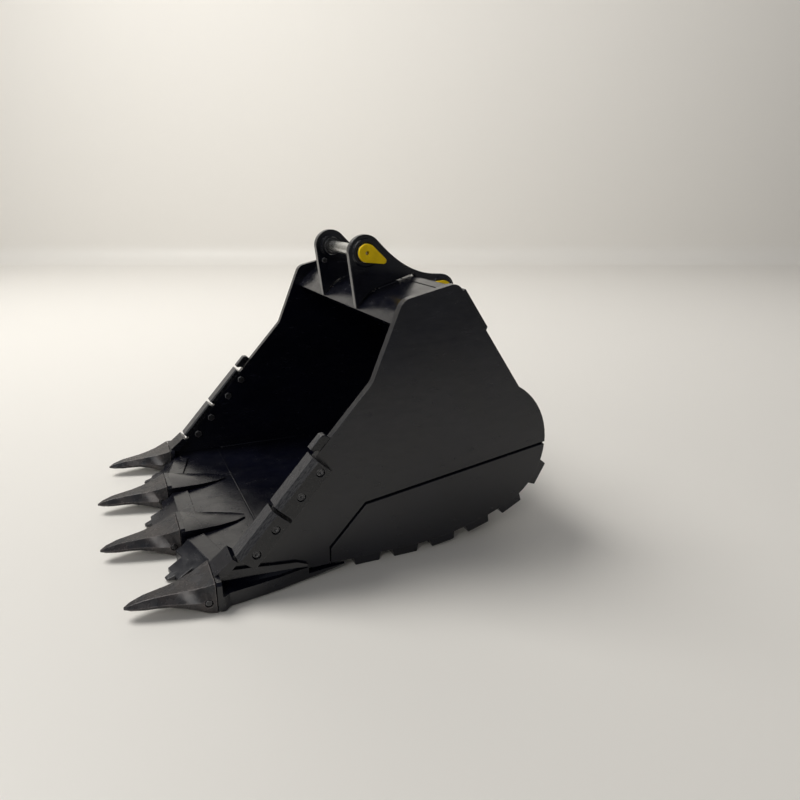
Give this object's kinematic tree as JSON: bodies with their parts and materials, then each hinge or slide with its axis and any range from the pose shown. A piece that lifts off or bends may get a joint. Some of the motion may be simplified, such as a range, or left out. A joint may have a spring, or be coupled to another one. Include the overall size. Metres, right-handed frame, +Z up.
{
  "type": "excavator bucket",
  "caption": "Scale rock bucket with side plates, curved wrapper, pinned tooth tips, lip shrouds, bolt-on side cutters, wear bars and hinge ears with pull-out pins.",
  "frame": {"origin": "on the ground, in the middle of the length and the width", "axes": "+Z up; +X from the teeth towards the heel; +Y across the bucket, towards its left side as seen looking into the mouth"},
  "size_m": [0.1686, 0.1474, 0.1167],
  "materials": {
    "plate_paint": "satin black paint over plate",
    "wear_paint": "satin black paint over cast and cut wear parts",
    "tooth_metal": "dark bronze-grey casting, slightly polished",
    "cutter_steel": "blackened steel, brushed bare on the worn faces",
    "bolt_steel": "blackened steel",
    "pin_steel": "bright turned steel",
    "keeper_yellow": "satin yellow paint"
  },
  "bodies": {
    "bucket": {"side_plate_right": "plate_paint", "side_wear_plate_right": "plate_paint", "side_plate_left": "plate_paint", "side_wear_plate_left": "plate_paint", "floor_plate": "plate_paint", "heel_plate": "plate_paint", "back_plate": "plate_paint", "top_plate": "plate_paint", "back_wear_plate": "plate_paint", "lip_plate": "wear_paint", "adapter_1": "wear_paint", "tooth_tip_1": "tooth_metal", "tooth_pin_1": "bolt_steel", "adapter_2": "wear_paint", "tooth_tip_2": "tooth_metal", "tooth_pin_2": "bolt_steel", "adapter_3": "wear_paint", "tooth_tip_3": "tooth_metal", "tooth_pin_3": "bolt_steel", "adapter_4": "wear_paint", "tooth_tip_4": "tooth_metal", "tooth_pin_4": "bolt_steel", "lip_shroud_1": "wear_paint", "lip_shroud_2": "wear_paint", "lip_shroud_3": "wear_paint", "cutter_hook_right": "cutter_steel", "upper_cutter_right": "cutter_steel", "lower_cutter_right": "cutter_steel", "cutter_bolt_1_right": "bolt_steel", "cutter_bolt_2_right": "bolt_steel", "cutter_bolt_3_right": "bolt_steel", "cutter_bolt_4_right": "bolt_steel", "cutter_hook_left": "cutter_steel", "upper_cutter_left": "cutter_steel", "lower_cutter_left": "cutter_steel", "cutter_bolt_1_left": "bolt_steel", "cutter_bolt_2_left": "bolt_steel", "cutter_bolt_3_left": "bolt_steel", "cutter_bolt_4_left": "bolt_steel", "wear_bar_1": "wear_paint", "wear_bar_2": "wear_paint", "wear_bar_3": "wear_paint", "wear_bar_4": "wear_paint", "wear_bar_5": "wear_paint", "wear_bar_6": "wear_paint", "wear_bar_7": "wear_paint", "ear_right": "plate_paint", "stick_bush_right": "bolt_steel", "link_bush_right": "bolt_steel", "ear_left": "plate_paint", "stick_bush_left": "bolt_steel", "link_bush_left": "bolt_steel", "pin_lock_screw": "bolt_steel"},
    "stick_pin_assembly": {"stick_pin": "pin_steel", "stick_pin_keeper": "keeper_yellow"},
    "link_pin_assembly": {"link_pin": "pin_steel", "link_pin_keeper": "keeper_yellow"}
  },
  "joints": [
    {"name": "stick_pin_slide", "type": "slide", "parent": "bucket", "child": "stick_pin_assembly", "axis": [0, -1, 0], "range_m": [0, 0.1]},
    {"name": "link_pin_slide", "type": "slide", "parent": "bucket", "child": "link_pin_assembly", "axis": [0, -1, 0], "range_m": [0, 0.1]}
  ]
}
